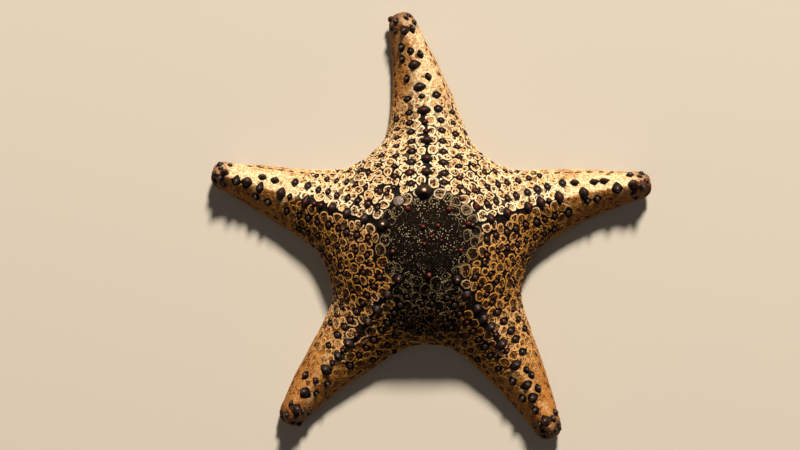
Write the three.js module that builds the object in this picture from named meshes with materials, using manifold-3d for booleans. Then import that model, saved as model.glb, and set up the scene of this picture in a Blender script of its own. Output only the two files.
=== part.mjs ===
// A knobbly sea star at life size, lying on its underside with its arms slightly bent.
// Millimetres, +Z up, the first arm pointing along +Y, the floor at z = 0.
import * as THREE from 'three';
import { mergeVertices } from 'three/addons/utils/BufferGeometryUtils.js';
import Module from 'manifold-3d';

const wasm = await Module();
wasm.setup();

// ---------------------------------------------------------------- driving sizes

// Plan of the star, before its arms are bent
const DISC_CENTRE = new THREE.Vector3(-1.05, -3.94, 0); // middle of the disc, in the part's frame
const ARM_LENGTH = 57.3; // middle of the disc to the tip of a straight arm
const ROOT_HALF_WIDTH = 15.6; // the straight sides of an arm, carried back to the disc's middle
const ARM_TAPER = 0.225; // half width lost per millimetre along the arm
const WEB_START = 20.2; // where the rounded corner between two arms begins
const WEB_FLARE = 3.9; // how far that corner widens the arm there
const WEB_REACH = 3.4; // distance in which the widening dies away
const TIP_ROUND = 4.6; // length of the rounded end of an arm

// Heights
const TIP_HEIGHT = 6.2;
const ARM_RISE = 4.0; // extra height of the ridge, from nothing at the tip to this at the middle
const DISC_RISE = 8.8; // extra height of the domed disc
const DISC_REACH = 22; // how far out the dome spreads
const AMBITUS = 0.3; // height of the widest level, as a share of the whole section
const SOLE_CUT = 0.6; // rounded underside that the flat sole takes away
const LIFT_START = 44; // from here on the tip curls up
const TIP_LIFT = 2.2;
const ROOF_WIDTH_POWER = 1.3; // low powers give the arm its roof-like ridge
const ROOF_HEIGHT_POWER = 1.6;
const WALL_POWER = 3;
const INNER_HALF_WIDTH = 25; // most that an arm's root spreads within the disc
const INNER_BLEND = 8;
const BACK_CAP = 20; // rounded inner end of an arm, within the disc
const VALLEY_BLEND = 2.5; // softness of the valley between two arms

// Bends of the arms
const BEND_START = 23;
const BEND_LENGTH = ARM_LENGTH - BEND_START;

// Parting
const PART_GAP = 0.3;
const DISC_EDGE = 22; // where an arm parts from the disc
const TIP_EDGE = 51.5; // where an arm parts from its tip

// Underside
const GROOVE_HALF_WIDTH = 1.4;
const GROOVE_DEPTH = 2.1;
const GROOVE_END = 50;
const MOUTH_RADIUS = 3.2;
const MOUTH_DEPTH = 3.4;
const LIP_HEIGHT = 1.2;
const LIP_OPENING = 0.9;
const LIP_INNER_DROP = 0.6; // how far each edge of the lip hangs, as a share of its height
const LIP_OUTER_DROP = 0.7;
const GROOVE_SHOULDER = { across: 0.65, up: 0.8 }; // shares of the groove's half width and depth

// Sieve plate on the disc
const MADREPORITE = { heading: 126, reach: 12, radius: 1.35, height: 1.3, sunk: 0.8 };
const MADREPORITE_EDGE = [[1, 0.6], [0.75, 0.88]]; // rounded rim, as shares of radius and height

// Knobs
const SMALLEST_KNOB = 1.5; // narrower ones are too fine for the solids
const INNER_RING = { reach: 9, width: 1.4 };
const MIDDLE_KNOB_WIDTH = 1.4;
const KNOB_HEIGHT = 0.62; // share of its width that a knob stands proud
const KNOB_ROOT = 0.5; // depth of a knob's root under the skin
const KNOB_OUTLINE = [[0.97, 0], [0.62, 0.78]]; // shares of its radius and height

// Each arm: the direction it leaves the disc in, degrees; how its axis curves sideways (bow grows
// with the square and curl with the cube of the way along); its extra length; and its knobs, from
// the disc to the tip, each [distance from the disc's middle, sideways from the ridge, width].
// The first of them are the five largest, in a ring on the disc.
const ARMS = [
  {
    name: 'arm_1',
    heading: 90,
    bow: 10.4,
    curl: -3.5,
    extra: -0.2,
    knobs: [
      [12, 0.7, 3.9], [17, 0.1, 1.7], [20.3, 0, 1.6], [24.9, 0, 2], [27.2, 0, 1.1],
      [29.5, 0.1, 1.2], [32.5, 0, 2.1], [36, -0.1, 1.1], [38.4, 0.1, 2], [40.4, -2.7, 1.4],
      [41.1, 2.7, 1.3], [44, 0, 2], [46.1, 2.6, 1.4], [46.1, -2.2, 1.5], [47.4, 0, 1.1],
      [48.9, 2, 1.6], [52.5, -2, 1.6], [52.6, 0.2, 1.6], [55.3, 1.5, 1.6], [55.5, -1.3, 1.1],
    ],
  },
  {
    name: 'arm_2',
    heading: 18,
    bow: -3.75,
    curl: 0,
    extra: 0.5,
    knobs: [
      [11.7, 0.2, 1.6], [16.6, 0.2, 1.6], [21, 0.4, 1.6], [26.4, 0.2, 1.7], [29.7, 0.5, 2],
      [31.7, 0.3, 1.1], [34.4, 0.6, 2], [38.9, 3.3, 1.5], [40.5, 0.3, 2.1], [41.1, -1.9, 1.2],
      [43.5, 2.5, 1.5], [43.5, -1.8, 1.5], [45.9, 2.3, 1.6], [48.7, -0.2, 1.9], [52.7, 0.4, 2],
      [55, -0.6, 1.7],
    ],
  },
  {
    name: 'arm_3',
    heading: -54,
    bow: -3.2,
    curl: 0,
    extra: 0.9,
    knobs: [
      [12, 0.3, 2.3], [16.6, 0.1, 1.4], [20.8, 0.3, 1.8], [23.9, 0.1, 1.4], [26.5, 0.3, 2.1],
      [28.6, 0.2, 1.2], [31.4, 0.2, 2.2], [33.4, 0.3, 1.2], [37.5, 0.4, 2], [39.8, 2, 1.2],
      [40.5, -2.4, 1.5], [41.5, 2.4, 1.4], [43, 0.2, 1.8], [45.1, 2.2, 1.6], [45.4, -2.4, 1.6],
      [46.4, -0.2, 1.8], [49.3, -1.1, 1.5], [52.7, -0.1, 2], [54.8, -1.9, 1.3],
    ],
  },
  {
    name: 'arm_4',
    heading: 234,
    bow: -10,
    curl: 8.75,
    extra: 0,
    knobs: [
      [11.6, -0.1, 2.3], [16.5, 0, 1.5], [21, 0, 1.6], [24.8, 0.1, 1.9], [29.1, -0.1, 1.2],
      [32, -0.2, 2.1], [34.2, -0.1, 1.1], [36.1, 0, 1.6], [38.3, 0.1, 1.1], [40.6, -0.1, 2],
      [43.1, 2.6, 1.4], [44.3, -0.2, 1.3], [45, -3, 1.6], [46.8, 2, 1.1], [48.3, -0.5, 2.1],
      [52.8, 0.2, 2], [55.4, -1.2, 1.5],
    ],
  },
  {
    name: 'arm_5',
    heading: 162,
    bow: 0,
    curl: 0.1,
    extra: -0.9,
    knobs: [
      [11.4, -0.4, 2.9], [16.4, -0.3, 1.6], [20.9, -0.3, 1.7], [24.8, -0.5, 2], [27.7, -0.2, 1.3],
      [29.5, -0.1, 1.3], [31.8, 0.1, 2.1], [36.1, 0.1, 1], [38.5, -0.1, 2.1], [41.1, 3.1, 1.5],
      [41.1, -2.7, 1.6], [44.1, 0.3, 1.6], [44.5, 2.7, 1.5], [44.4, -2.5, 1.5], [47.7, -0.2, 2],
      [50.4, 0.5, 1.7], [54, -0.8, 1.8], [54.6, 1, 1.6],
    ],
  },
];

// Fineness of the solids
const AROUND_ARM = 20;
const ALONG_ARM = 11;
const STATION_POWER = 1.15; // above 1 the rings stand closer near the disc, where an arm flares
const CAP_RINGS = 3;
const AROUND_DISC = 40;
const DISC_ELEVATIONS = [-40, -13, -9, -4, 1, 6, 11, 15, 18, 22, 28, 37, 50, 68];
const KNOB_SIDES = 6;
const SIEVE_SIDES = 14;
const MOUTH_SIDES = 20;
const HALVINGS = 40;
const LONGEST_RAY = 40;
const SLOPE_STEP = 0.02;
const WELD_DISTANCE = 1e-4;
const FENCE_HEIGHT = 60; // taller than the disc, which it parts from the arms

// ---------------------------------------------------------------- shape of the body

const radians = THREE.MathUtils.degToRad;
const clamp = THREE.MathUtils.clamp;
const UP = new THREE.Vector3(0, 0, 1);

function smoothMin(a, b, blend) {
  const near = Math.max(blend - Math.abs(a - b), 0) / blend;
  return Math.min(a, b) - near ** 2 * blend / 4;
}

function halfWidth(along) {
  const past = (along - WEB_START) / WEB_REACH;
  const flare = past > 0 ? Math.exp(-past) : 1 - past;
  const spread = ROOT_HALF_WIDTH - ARM_TAPER * along + WEB_FLARE * flare;
  return smoothMin(spread, INNER_HALF_WIDTH, INNER_BLEND);
}

function ridgeHeight(along) {
  const rise = ARM_RISE * (1 - along / ARM_LENGTH);
  return TIP_HEIGHT + rise + DISC_RISE * Math.exp(-((along / DISC_REACH) ** 2));
}

function tipLift(along) {
  return TIP_LIFT * clamp((along - LIFT_START) / (ARM_LENGTH - LIFT_START), 0, 1) ** 2;
}

// Below zero inside one straight arm, about in millimetres near its surface.
function armField(along, across, up) {
  const capStart = ARM_LENGTH - TIP_ROUND;
  const station = clamp(along, 0, capStart);
  const lift = tipLift(along);
  const top = ridgeHeight(station) + lift;
  const bottom = lift - SOLE_CUT;
  const widest = bottom + AMBITUS * (top - bottom);
  const side = Math.abs(across) / halfWidth(station);
  const section = up > widest
    ? side ** ROOF_WIDTH_POWER + ((up - widest) / (top - widest)) ** ROOF_HEIGHT_POWER
    : side ** WALL_POWER + ((widest - up) / (widest - bottom)) ** WALL_POWER;
  const outer = Math.max(along - capStart, 0) / TIP_ROUND;
  const inner = Math.max(-along, 0) / BACK_CAP;
  const scale = Math.min(halfWidth(station), top) / 2;
  return (section + outer ** 2 + inner ** 2 - 1) * scale;
}

// Below zero inside the whole straight-armed body. The first arm lies along +X.
function bodyField(point) {
  const fields = ARMS.map((arm, turn) => {
    const angle = turn * 2 * Math.PI / ARMS.length;
    const along = point.x * Math.cos(angle) + point.y * Math.sin(angle);
    const across = point.y * Math.cos(angle) - point.x * Math.sin(angle);
    return armField(along, across, point.z);
  });
  fields.sort((a, b) => a - b);
  return Math.max(smoothMin(fields[0], fields[1], VALLEY_BLEND), -point.z);
}

function surfacePoint(from, toward) {
  let inside = 0;
  let outside = LONGEST_RAY;
  for (let halving = 0; halving < HALVINGS; halving += 1) {
    const middle = (inside + outside) / 2;
    if (bodyField(from.clone().addScaledVector(toward, middle)) > 0) {
      outside = middle;
    } else {
      inside = middle;
    }
  }
  return from.clone().addScaledVector(toward, inside);
}

function surfaceNormal(point) {
  const slope = ['x', 'y', 'z'].map((axis) => {
    const ahead = point.clone();
    const behind = point.clone();
    ahead[axis] += SLOPE_STEP;
    behind[axis] -= SLOPE_STEP;
    return bodyField(ahead) - bodyField(behind);
  });
  return new THREE.Vector3(...slope).normalize();
}

// ---------------------------------------------------------------- solids

function toSolid(geometry) {
  const bare = geometry.clone();
  bare.deleteAttribute('normal');
  bare.deleteAttribute('uv');
  const welded = mergeVertices(bare, WELD_DISTANCE);
  return new wasm.Manifold(new wasm.Mesh({
    numProp: 3,
    vertProperties: new Float32Array(welded.attributes.position.array),
    triVerts: new Uint32Array(welded.index.array),
  }));
}

function toGeometry(solid) {
  const mesh = solid.getMesh();
  const geometry = new THREE.BufferGeometry();
  geometry.setAttribute('position', new THREE.BufferAttribute(mesh.vertProperties, 3));
  geometry.setIndex(new THREE.BufferAttribute(mesh.triVerts, 1));
  return geometry;
}

// A closed body through rings of points, with a single point at each end.
function ringedBody(firstPoint, rings, lastPoint) {
  const count = rings[0].length;
  const points = [firstPoint, ...rings.flat(), lastPoint];
  const last = points.length - 1;
  const faces = [];
  for (let i = 0; i < count; i += 1) {
    const next = (i + 1) % count;
    faces.push(0, 1 + next, 1 + i);
    for (let ring = 0; ring < rings.length - 1; ring += 1) {
      const here = 1 + ring * count;
      const there = here + count;
      faces.push(here + i, here + next, there + next, here + i, there + next, there + i);
    }
    const end = last - count;
    faces.push(end + i, end + next, last);
  }
  const geometry = new THREE.BufferGeometry().setFromPoints(points);
  geometry.setIndex(faces);
  return toSolid(geometry);
}

function armRing(station, tilt) {
  const along = new THREE.Vector3(1, 0, 0);
  const hub = new THREE.Vector3(station, 0, tipLift(station) + AMBITUS * ridgeHeight(station));
  return Array.from({ length: AROUND_ARM }, (_, i) => {
    const turn = (i / AROUND_ARM) * 2 * Math.PI;
    const outward = new THREE.Vector3(0, Math.cos(turn), Math.sin(turn));
    const toward = outward.multiplyScalar(Math.cos(tilt)).addScaledVector(along, Math.sin(tilt));
    return surfacePoint(hub, toward);
  });
}

function hubOf(ring) {
  return ring.reduce((sum, point) => sum.add(point), new THREE.Vector3()).divideScalar(ring.length);
}

function flatRing(ring, along) {
  return ring.map((point) => new THREE.Vector3(along, point.y, point.z));
}

function armBody() {
  const first = DISC_EDGE + PART_GAP / 2;
  const last = TIP_EDGE - PART_GAP / 2;
  const rings = Array.from({ length: ALONG_ARM + 1 }, (_, i) => {
    const share = i / ALONG_ARM;
    return armRing(first + (last - first) * share ** STATION_POWER, 0);
  });
  return ringedBody(hubOf(rings[0]), rings, hubOf(rings[ALONG_ARM]));
}

function tipBody() {
  const first = TIP_EDGE + PART_GAP / 2;
  const rings = Array.from({ length: CAP_RINGS + 1 }, (_, i) => {
    const tilt = (i / (CAP_RINGS + 1)) * Math.PI / 2;
    return armRing(first, tilt);
  });
  rings[0] = flatRing(rings[0], first);
  const hub = hubOf(rings[0]);
  return ringedBody(hub, rings, surfacePoint(hub, new THREE.Vector3(1, 0, 0)));
}

function discBody() {
  const hub = new THREE.Vector3(0, 0, AMBITUS * ridgeHeight(0));
  const down = UP.clone().negate();
  const rings = DISC_ELEVATIONS.map((degrees) => Array.from({ length: AROUND_DISC }, (_, i) => {
    const turn = (i / AROUND_DISC) * 2 * Math.PI;
    const flat = Math.cos(radians(degrees));
    return surfacePoint(hub, new THREE.Vector3(
      flat * Math.cos(turn), flat * Math.sin(turn), Math.sin(radians(degrees)),
    ));
  }));
  const whole = ringedBody(surfacePoint(hub, down), rings, surfacePoint(hub, UP));
  const edge = (DISC_EDGE - PART_GAP / 2) / Math.cos(Math.PI / ARMS.length);
  const fence = new THREE.CylinderGeometry(edge, edge, FENCE_HEIGHT, ARMS.length);
  fence.rotateX(Math.PI / 2);
  fence.rotateZ(Math.PI / 2 + Math.PI / ARMS.length);
  return whole.intersect(toSolid(fence));
}

// ---------------------------------------------------------------- knobs, grooves and mouth

function placed(geometry, point, direction) {
  geometry.rotateX(Math.PI / 2);
  geometry.applyQuaternion(new THREE.Quaternion().setFromUnitVectors(UP, direction));
  geometry.translate(point.x, point.y, point.z);
  return geometry;
}

function onTop(along, across) {
  const top = surfacePoint(new THREE.Vector3(along, across, AMBITUS * ridgeHeight(along)), UP);
  return { top, normal: surfaceNormal(top) };
}

function knob(along, across, width) {
  const { top, normal } = onTop(along, across);
  const radius = width / 2;
  const height = width * KNOB_HEIGHT;
  const profile = [
    [0, -KNOB_ROOT],
    [radius, -KNOB_ROOT],
    ...KNOB_OUTLINE.map(([reach, level]) => [radius * reach, height * level]),
    [0, height],
  ].map(([reach, level]) => new THREE.Vector2(reach, level));
  return toSolid(placed(new THREE.LatheGeometry(profile, KNOB_SIDES), top, normal));
}

// The knobs of an arm that stand wholly between two distances from the disc's middle.
function knobsBetween(first, last, arm) {
  return arm.knobs
    .filter(([along, , width]) => along - width / 2 > first && along + width / 2 < last)
    .filter(([, , width]) => width >= SMALLEST_KNOB)
    .map((sizes) => knob(...sizes));
}

function groove(first, last) {
  const shoulder = GROOVE_HALF_WIDTH * GROOVE_SHOULDER.across;
  const shoulderHeight = GROOVE_DEPTH * GROOVE_SHOULDER.up;
  const profile = new THREE.Shape([
    [-GROOVE_HALF_WIDTH, -1],
    [GROOVE_HALF_WIDTH, -1],
    [GROOVE_HALF_WIDTH, 0],
    [shoulder, shoulderHeight],
    [0, GROOVE_DEPTH],
    [-shoulder, shoulderHeight],
    [-GROOVE_HALF_WIDTH, 0],
  ].map(([across, up]) => new THREE.Vector2(across, up)));
  const geometry = new THREE.ExtrudeGeometry(profile, { depth: last - first, bevelEnabled: false });
  geometry.applyMatrix4(new THREE.Matrix4().makeBasis(
    new THREE.Vector3(0, 1, 0), UP, new THREE.Vector3(1, 0, 0),
  ));
  geometry.translate(first, 0, 0);
  return toSolid(geometry);
}

// The arms follow one another clockwise, seen from above.
function turned(solid, index) {
  return solid.rotate([0, 0, -index * 360 / ARMS.length]);
}

function madreporiteSeat() {
  // In the straight-armed body the first arm lies along +X, so headings count from it.
  const angle = radians(MADREPORITE.heading - ARMS[0].heading);
  const { top, normal } = onTop(
    MADREPORITE.reach * Math.cos(angle), MADREPORITE.reach * Math.sin(angle),
  );
  return { point: top.addScaledVector(normal, -MADREPORITE.sunk), normal };
}

function madreporite() {
  const { radius, height } = MADREPORITE;
  const profile = [
    [0, 0],
    [radius, 0],
    ...MADREPORITE_EDGE.map(([reach, level]) => [radius * reach, height * level]),
    [0, height],
  ].map(([reach, level]) => new THREE.Vector2(reach, level));
  const seat = madreporiteSeat();
  return toSolid(placed(new THREE.LatheGeometry(profile, SIEVE_SIDES), seat.point, seat.normal));
}

function madreporiteRecess() {
  const reach = MADREPORITE.radius + PART_GAP;
  const seat = madreporiteSeat();
  const hole = new THREE.CylinderGeometry(reach, reach, 2 * MADREPORITE.height, SIEVE_SIDES);
  hole.translate(0, MADREPORITE.height - PART_GAP, 0);
  return toSolid(placed(hole, seat.point, seat.normal));
}

function mouthLip() {
  const outer = MOUTH_RADIUS - PART_GAP;
  const roof = MOUTH_DEPTH - PART_GAP;
  const middle = (outer + LIP_OPENING) / 2;
  const profile = [
    [LIP_OPENING, roof],
    [LIP_OPENING, roof - LIP_HEIGHT * LIP_INNER_DROP],
    [middle, roof - LIP_HEIGHT],
    [outer, roof - LIP_HEIGHT * LIP_OUTER_DROP],
    [outer, roof],
    [LIP_OPENING, roof],
  ].map(([reach, level]) => new THREE.Vector2(reach, level));
  return toSolid(new THREE.LatheGeometry(profile, MOUTH_SIDES).rotateX(Math.PI / 2));
}

function discWithKnobs() {
  const fifth = 2 * Math.PI / ARMS.length;
  const parts = [discBody()];
  ARMS.forEach((arm, i) => {
    parts.push(...knobsBetween(0, DISC_EDGE - PART_GAP / 2, arm).map((one) => turned(one, i)));
    const between = (i + 0.5) * fifth;
    const across = Math.sin(between) * INNER_RING.reach;
    parts.push(knob(Math.cos(between) * INNER_RING.reach, across, INNER_RING.width));
  });
  parts.push(knob(0, 0, MIDDLE_KNOB_WIDTH));
  const mouth = new THREE.CylinderGeometry(MOUTH_RADIUS, MOUTH_RADIUS, 2 * MOUTH_DEPTH, MOUTH_SIDES);
  const grooves = ARMS.map((arm, i) => turned(groove(MOUTH_RADIUS / 2, DISC_EDGE + 1), i));
  const cuts = [toSolid(mouth.rotateX(Math.PI / 2)), ...grooves, madreporiteRecess()];
  return wasm.Manifold.union(parts).subtract(wasm.Manifold.union(cuts));
}

function armWithKnobs(arm) {
  const first = DISC_EDGE + PART_GAP / 2;
  const last = TIP_EDGE - PART_GAP / 2;
  const parts = [armBody(), ...knobsBetween(first, last, arm)];
  return wasm.Manifold.union(parts).subtract(groove(first - 1, GROOVE_END));
}

function tipWithKnobs(arm) {
  const first = TIP_EDGE + PART_GAP / 2;
  return wasm.Manifold.union([tipBody(), ...knobsBetween(first, ARM_LENGTH, arm)]);
}

// ---------------------------------------------------------------- pose and assembly

// Bends a straight arm that lies along +X and turns it to its own heading.
function pose(geometry, arm) {
  const position = geometry.attributes.position;
  const heading = radians(arm.heading);
  for (let i = 0; i < position.count; i += 1) {
    const along = position.getX(i);
    const across = position.getY(i);
    const way = Math.max((along - BEND_START) / BEND_LENGTH, 0);
    const sideways = arm.bow * way ** 2 + arm.curl * way ** 3;
    const slope = (2 * arm.bow * way + 3 * arm.curl * way ** 2) / BEND_LENGTH;
    const turn = Math.atan(slope);
    const x = along + arm.extra * way - Math.sin(turn) * across;
    const y = sideways + Math.cos(turn) * across;
    position.setX(i, x * Math.cos(heading) - y * Math.sin(heading));
    position.setY(i, x * Math.sin(heading) + y * Math.cos(heading));
  }
  return geometry;
}

const LEATHERY_SKIN = { color: 0xb98a4e, roughness: 0.75, metalness: 0 };
const DARK_SKIN = { color: 0x3a281c, roughness: 0.7, metalness: 0 };
const TIP_SKIN = { color: 0x9a5a30, roughness: 0.7, metalness: 0 };
const SIEVE_PLATE = { color: 0xb9a79c, roughness: 0.5, metalness: 0 };
const LIP_SKIN = { color: 0xd8b58a, roughness: 0.7, metalness: 0 };

const star = new THREE.Group();

function addNode(name, geometry, finish) {
  const node = new THREE.Mesh(geometry, new THREE.MeshStandardMaterial(finish));
  node.name = name;
  node.position.copy(DISC_CENTRE);
  star.add(node);
}

const discTurn = radians(ARMS[0].heading);
addNode('disc', toGeometry(discWithKnobs()).rotateZ(discTurn), DARK_SKIN);
addNode('madreporite', toGeometry(madreporite()).rotateZ(discTurn), SIEVE_PLATE);
addNode('mouth', toGeometry(mouthLip()), LIP_SKIN);
ARMS.forEach((arm) => {
  addNode(arm.name, pose(toGeometry(armWithKnobs(arm)), arm), LEATHERY_SKIN);
  addNode(arm.name.replace('arm', 'arm_tip'), pose(toGeometry(tipWithKnobs(arm)), arm), TIP_SKIN);
});

export default star;
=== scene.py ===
# A knobbly sea star at life size: one continuous skin over the disc and the five arms, with its
# knobs, sieve plate, mouth, spines and tube feet as pieces of their own.
import math
from dataclasses import dataclass
from functools import partial

import bpy
import numpy as np
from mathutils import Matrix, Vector, kdtree, noise


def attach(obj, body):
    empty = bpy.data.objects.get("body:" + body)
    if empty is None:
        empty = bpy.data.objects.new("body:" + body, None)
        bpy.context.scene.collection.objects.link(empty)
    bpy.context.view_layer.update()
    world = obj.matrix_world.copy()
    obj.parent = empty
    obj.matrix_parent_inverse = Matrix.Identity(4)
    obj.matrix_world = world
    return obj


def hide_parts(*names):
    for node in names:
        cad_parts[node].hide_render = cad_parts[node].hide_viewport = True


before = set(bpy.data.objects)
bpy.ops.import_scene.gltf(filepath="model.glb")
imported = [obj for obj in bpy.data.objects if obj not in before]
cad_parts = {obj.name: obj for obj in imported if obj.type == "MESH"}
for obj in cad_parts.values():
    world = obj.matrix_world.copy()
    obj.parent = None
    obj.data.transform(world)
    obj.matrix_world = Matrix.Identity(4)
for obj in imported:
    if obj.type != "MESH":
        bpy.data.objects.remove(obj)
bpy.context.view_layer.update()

MM = 0.001

# ---------- shape of the body, millimetres

DISC_CENTRE = np.array([-1.05, -3.94, 0.0])
ARM_LENGTH = 57.3
ROOT_HALF_WIDTH = 15.6
ARM_TAPER = 0.225
WEB_START = 20.2
WEB_FLARE = 3.9
WEB_REACH = 3.4
TIP_ROUND = 4.6
TIP_HEIGHT = 6.2
ARM_RISE = 4.0
DISC_RISE = 8.8
DISC_REACH = 22.0
AMBITUS = 0.3
SOLE_CUT = 0.6
LIFT_START = 44.0
TIP_LIFT = 2.2
ROOF_WIDTH_POWER = 1.3
ROOF_HEIGHT_POWER = 1.6
WALL_POWER = 3.0
INNER_HALF_WIDTH = 25.0
INNER_BLEND = 8.0
BACK_CAP = 20.0
VALLEY_BLEND = 2.5
SOLE_BLEND = 1.0
BEND_START = 23.0
BEND_LENGTH = ARM_LENGTH - BEND_START
HALF_SECTOR_DEGREES = 36
HALF_SECTOR = math.radians(HALF_SECTOR_DEGREES)

GROOVE_HALF_WIDTH = 1.4
GROOVE_DEPTH = 2.1
GROOVE_START = 2.0
GROOVE_END = 50.0
GROOVE_BANK_WIDTH = 1.1
GROOVE_BANK_DEPTH = 0.55
BANK_EDGE = GROOVE_HALF_WIDTH + GROOVE_BANK_WIDTH
MOUTH_RADIUS = 3.2
MOUTH_DEPTH = 3.4
MADREPORITE_HEADING = 126.0
MADREPORITE_REACH = 12.0
MADREPORITE_RADIUS = 1.35
MADREPORITE_HEIGHT = 0.5

# Each arm: its heading, how its axis curves sideways, its extra length, and its knobs from the
# disc to the tip: distance from the disc's middle, sideways from the ridge, width.
ARMS = [
    {"heading": 90, "bow": 10.4, "curl": -3.5, "extra": -0.2, "knobs": [
        (12, 0.7, 3.9), (17, 0.1, 1.7), (20.3, 0, 1.6), (24.9, 0, 2), (27.2, 0, 1.1),
        (29.5, 0.1, 1.2), (32.5, 0, 2.1), (36, -0.1, 1.1), (38.4, 0.1, 2), (40.4, -2.7, 1.4),
        (41.1, 2.7, 1.3), (44, 0, 2), (46.1, 2.6, 1.4), (46.1, -2.2, 1.5), (47.4, 0, 1.1),
        (48.9, 2, 1.6), (52.5, -2, 1.6), (52.6, 0.2, 1.6), (55.3, 1.5, 1.6), (55.5, -1.3, 1.1),
    ]},
    {"heading": 18, "bow": -3.75, "curl": 0, "extra": 0.5, "knobs": [
        (11.7, 0.2, 1.6), (16.6, 0.2, 1.6), (21, 0.4, 1.6), (26.4, 0.2, 1.7), (29.7, 0.5, 2),
        (31.7, 0.3, 1.1), (34.4, 0.6, 2), (38.9, 3.3, 1.5), (40.5, 0.3, 2.1),
        (41.1, -1.9, 1.2), (43.5, 2.5, 1.5), (43.5, -1.8, 1.5), (45.9, 2.3, 1.6),
        (48.7, -0.2, 1.9), (52.7, 0.4, 2), (55, -0.6, 1.7),
    ]},
    {"heading": -54, "bow": -3.2, "curl": 0, "extra": 0.9, "knobs": [
        (12, 0.3, 2.3), (16.6, 0.1, 1.4), (20.8, 0.3, 1.8), (23.9, 0.1, 1.4), (26.5, 0.3, 2.1),
        (28.6, 0.2, 1.2), (31.4, 0.2, 2.2), (33.4, 0.3, 1.2), (37.5, 0.4, 2), (39.8, 2, 1.2),
        (40.5, -2.4, 1.5), (41.5, 2.4, 1.4), (43, 0.2, 1.8), (45.1, 2.2, 1.6),
        (45.4, -2.4, 1.6), (46.4, -0.2, 1.8), (49.3, -1.1, 1.5), (52.7, -0.1, 2),
        (54.8, -1.9, 1.3),
    ]},
    {"heading": 234, "bow": -10, "curl": 8.75, "extra": 0, "knobs": [
        (11.6, -0.1, 2.3), (16.5, 0, 1.5), (21, 0, 1.6), (24.8, 0.1, 1.9), (29.1, -0.1, 1.2),
        (32, -0.2, 2.1), (34.2, -0.1, 1.1), (36.1, 0, 1.6), (38.3, 0.1, 1.1), (40.6, -0.1, 2),
        (43.1, 2.6, 1.4), (44.3, -0.2, 1.3), (45, -3, 1.6), (46.8, 2, 1.1), (48.3, -0.5, 2.1),
        (52.8, 0.2, 2), (55.4, -1.2, 1.5),
    ]},
    {"heading": 162, "bow": 0, "curl": 0.1, "extra": -0.9, "knobs": [
        (11.4, -0.4, 2.9), (16.4, -0.3, 1.6), (20.9, -0.3, 1.7), (24.8, -0.5, 2),
        (27.7, -0.2, 1.3), (29.5, -0.1, 1.3), (31.8, 0.1, 2.1), (36.1, 0.1, 1),
        (38.5, -0.1, 2.1), (41.1, 3.1, 1.5), (41.1, -2.7, 1.6), (44.1, 0.3, 1.6),
        (44.5, 2.7, 1.5), (44.4, -2.5, 1.5), (47.7, -0.2, 2), (50.4, 0.5, 1.7), (54, -0.8, 1.8),
        (54.6, 1, 1.6),
    ]},
]
HEADINGS = [arm["heading"] for arm in ARMS]
JAW_HEADINGS = [heading + HALF_SECTOR_DEGREES for heading in HEADINGS]


def smooth_min(a, b, blend):
    near = np.maximum(blend - np.abs(a - b), 0) / blend
    return np.minimum(a, b) - near**2 * blend / 4


def smooth_step(value, low, high):
    share = np.clip((value - low) / (high - low), 0, 1)
    return share * share * (3 - 2 * share)


def half_width(along):
    past = (along - WEB_START) / WEB_REACH
    flare = np.where(past > 0, np.exp(-np.maximum(past, 0)), 1 - past)
    return smooth_min(
        ROOT_HALF_WIDTH - ARM_TAPER * along + WEB_FLARE * flare, INNER_HALF_WIDTH, INNER_BLEND
    )


def ridge_height(along):
    rise = ARM_RISE * (1 - along / ARM_LENGTH)
    return TIP_HEIGHT + rise + DISC_RISE * np.exp(-((along / DISC_REACH) ** 2))


def tip_lift(along):
    return TIP_LIFT * np.clip((along - LIFT_START) / (ARM_LENGTH - LIFT_START), 0, 1) ** 2


def arm_field(along, across, up):
    """Below zero inside one straight arm, about in millimetres near its surface."""
    cap_start = ARM_LENGTH - TIP_ROUND
    station = np.clip(along, 0, cap_start)
    lift = tip_lift(along)
    top = ridge_height(station) + lift
    bottom = lift - SOLE_CUT
    widest = bottom + AMBITUS * (top - bottom)
    side = np.abs(across) / half_width(station)
    over = np.maximum(up - widest, 0) / (top - widest)
    under = np.maximum(widest - up, 0) / (widest - bottom)
    section = np.where(
        up > widest,
        side**ROOF_WIDTH_POWER + over**ROOF_HEIGHT_POWER,
        side**WALL_POWER + under**WALL_POWER,
    )
    outer = np.maximum(along - cap_start, 0) / TIP_ROUND
    inner = np.maximum(-along, 0) / BACK_CAP
    scale = np.minimum(half_width(station), top) / 2
    return (section + outer**2 + inner**2 - 1) * scale


def in_arm(points, heading):
    """How far along an arm and how far across it the points of the straight body lie."""
    turn = math.radians(heading)
    along = points[:, 0] * math.cos(turn) + points[:, 1] * math.sin(turn)
    across = points[:, 1] * math.cos(turn) - points[:, 0] * math.sin(turn)
    return along, across


def from_arm(along, across, up, heading):
    turn = math.radians(heading)
    x = along * math.cos(turn) - across * math.sin(turn)
    y = along * math.sin(turn) + across * math.cos(turn)
    return np.stack([x, y, up + 0 * x], axis=-1)


def body_field(points):
    """Below zero inside the whole body with straight arms."""
    arms = [arm_field(*in_arm(points, heading), points[:, 2]) for heading in HEADINGS]
    nearest = np.partition(np.array(arms), 1, axis=0)
    flesh = smooth_min(nearest[0], nearest[1], VALLEY_BLEND)
    return -smooth_min(-flesh, points[:, 2], SOLE_BLEND)


def surface_points(origins, directions, longest=40.0, halvings=22):
    inside = np.zeros(len(origins))
    outside = np.full(len(origins), longest)
    for _ in range(halvings):
        middle = (inside + outside) / 2
        is_out = body_field(origins + directions * middle[:, None]) > 0
        outside = np.where(is_out, middle, outside)
        inside = np.where(is_out, inside, middle)
    return origins + directions * inside[:, None]


def off_middle(points):
    """How far points lie from the disc's middle, seen from above."""
    return np.hypot(points[:, 0], points[:, 1])


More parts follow.
